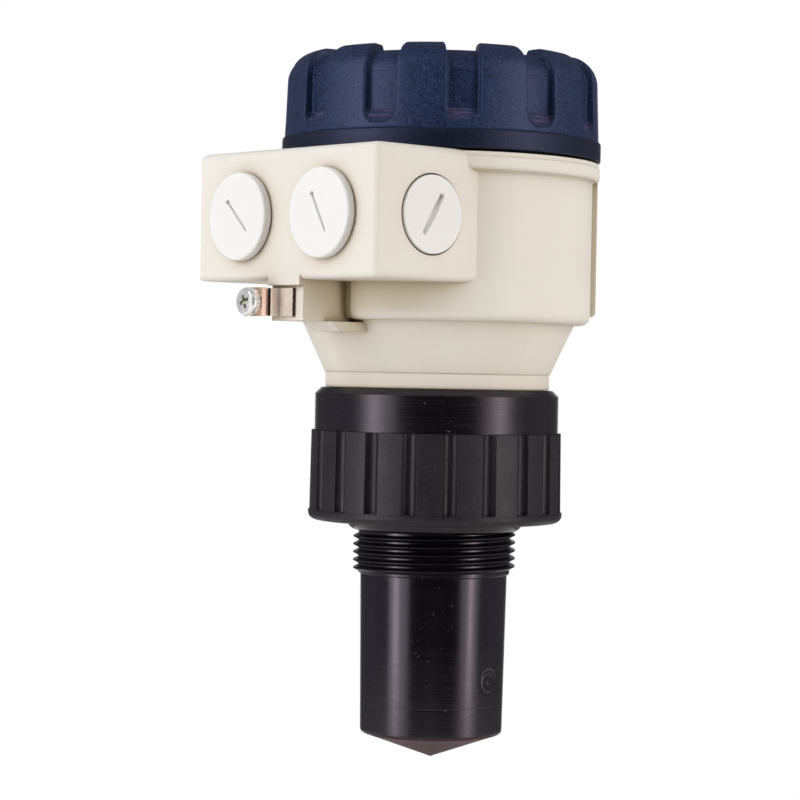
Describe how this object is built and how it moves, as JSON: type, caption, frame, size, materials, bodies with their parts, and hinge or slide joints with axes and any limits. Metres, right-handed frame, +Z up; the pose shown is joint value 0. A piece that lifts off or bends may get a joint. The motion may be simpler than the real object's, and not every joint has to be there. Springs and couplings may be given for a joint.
{
  "type": "radar level transmitter",
  "caption": "Compact radar level transmitter: navy lugged screw cover on a cream housing with plugged cable entries, black fluted collar, pipe thread and cone-tipped antenna tube.",
  "frame": {"origin": "on the antenna axis, in the plane of the first crest of the process thread, 4.7 mm under the seat", "axes": "+Z up the antenna axis towards the cover; -Y out of the two front cable entries; +X out of the right side entry"},
  "size_m": [0.0936, 0.1152, 0.2057],
  "materials": {
    "black_plastic": "turned and moulded black polypropylene, satin",
    "seal_rubber": "black sealing rubber",
    "board_green": "green solder mask",
    "zinc_steel": "bright zinc plating",
    "brass": "turned brass",
    "white_plastic": "white polyethylene, soft sheen",
    "lead_jacket": "brown jacket of a thin coaxial lead",
    "cream_plastic": "cream polyester housing, finely textured",
    "navy_plastic": "navy polyester, finely textured",
    "potting_grey": "grey potting cup",
    "terminal_green": "green terminal housing",
    "connector_black": "black connector shell",
    "nickel_strip": "nickel-plated copper alloy strip"
  },
  "bodies": {
    "process_connection": {"sensor_body": "black_plastic", "fluted_ring": "black_plastic", "collar": "black_plastic", "sensor_o_ring": "seal_rubber", "microwave_board": "board_green", "microwave_module": "zinc_steel", "antenna_horn": "brass", "horn_insert": "white_plastic", "coax_lead": "lead_jacket"},
    "housing": {"housing": "cream_plastic", "swivel_o_ring": "seal_rubber", "retaining_ring": "zinc_steel", "electronics_cup": "potting_grey", "circuit_board": "board_green", "terminal_block": "terminal_green", "terminal_screws": "zinc_steel", "shield_can": "zinc_steel", "service_connector": "connector_black", "cup_screws": "zinc_steel", "antenna_socket": "brass", "ground_strip": "nickel_strip", "ground_nut": "zinc_steel"},
    "cover_seal": {"cover_o_ring": "seal_rubber"},
    "cover": {"cover": "navy_plastic"},
    "front_left_seal": {"front_seal_left": "seal_rubber"},
    "front_left_plug": {"front_plug_left": "white_plastic"},
    "front_right_seal": {"front_seal_right": "seal_rubber"},
    "front_right_plug": {"front_plug_right": "white_plastic"},
    "side_left_seal": {"side_seal_left": "seal_rubber"},
    "side_left_plug": {"side_plug_left": "white_plastic"},
    "side_right_seal": {"side_seal_right": "seal_rubber"},
    "side_right_plug": {"side_plug_right": "white_plastic"},
    "ground_washers": {"ground_square_washer": "nickel_strip", "ground_lock_washer": "zinc_steel"},
    "ground_screw": {"ground_screw": "zinc_steel"}
  },
  "joints": [
    {"name": "housing_swivel", "type": "hinge", "parent": "process_connection", "child": "housing", "pos_m": [0, 0, 0.0435], "axis": [0, 0, 1], "range_deg": [-150, 150]},
    {"name": "cover_travel", "type": "slide", "parent": "housing", "child": "cover_seal", "axis": [0, 0, 1], "range_m": [0, 0.01]},
    {"name": "cover_turn", "type": "hinge", "parent": "cover_seal", "child": "cover", "pos_m": [0, 0, 0.1105], "axis": [0, 0, 1], "range_deg": [0, 900]},
    {"name": "front_left_plug_travel", "type": "slide", "parent": "housing", "child": "front_left_seal", "axis": [0, -1, 0], "range_m": [0, 0.009]},
    {"name": "front_left_plug_turn", "type": "hinge", "parent": "front_left_seal", "child": "front_left_plug", "pos_m": [-0.0178, -0.0596, 0.0914], "axis": [0, -1, 0], "range_deg": [0, 2160]},
    {"name": "front_right_plug_travel", "type": "slide", "parent": "housing", "child": "front_right_seal", "axis": [0, -1, 0], "range_m": [0, 0.009]},
    {"name": "front_right_plug_turn", "type": "hinge", "parent": "front_right_seal", "child": "front_right_plug", "pos_m": [0.0178, -0.0596, 0.0914], "axis": [0, -1, 0], "range_deg": [0, 2160]},
    {"name": "side_left_plug_travel", "type": "slide", "parent": "housing", "child": "side_left_seal", "axis": [-1, 0, 0], "range_m": [0, 0.00907]},
    {"name": "side_left_plug_turn", "type": "hinge", "parent": "side_left_seal", "child": "side_left_plug", "pos_m": [-0.0387, -0.0393, 0.0914], "axis": [-1, 0, 0], "range_deg": [0, 1800]},
    {"name": "side_right_plug_travel", "type": "slide", "parent": "housing", "child": "side_right_seal", "axis": [1, 0, 0], "range_m": [0, 0.00907]},
    {"name": "side_right_plug_turn", "type": "hinge", "parent": "side_right_seal", "child": "side_right_plug", "pos_m": [0.0387, -0.0393, 0.0914], "axis": [1, 0, 0], "range_deg": [0, 1800]},
    {"name": "ground_screw_travel", "type": "slide", "parent": "housing", "child": "ground_washers", "axis": [0, -1, 0], "range_m": [-0.00099, 0.00117]},
    {"name": "ground_screw_turn", "type": "hinge", "parent": "ground_washers", "child": "ground_screw", "pos_m": [-0.0064, -0.066, 0.0671], "axis": [0, -1, 0], "range_deg": [-510, 600]}
  ],
  "couplings": [
    {"joint": "cover_travel", "follows": "cover_turn", "m_per_rad": 0.00063662},
    {"joint": "front_left_plug_travel", "follows": "front_left_plug_turn", "m_per_rad": 0.00023873},
    {"joint": "front_right_plug_travel", "follows": "front_right_plug_turn", "m_per_rad": 0.00023873},
    {"joint": "side_left_plug_travel", "follows": "side_left_plug_turn", "m_per_rad": 0.00028871},
    {"joint": "side_right_plug_travel", "follows": "side_right_plug_turn", "m_per_rad": 0.00028871},
    {"joint": "ground_screw_travel", "follows": "ground_screw_turn", "m_per_rad": 0.00011141}
  ]
}
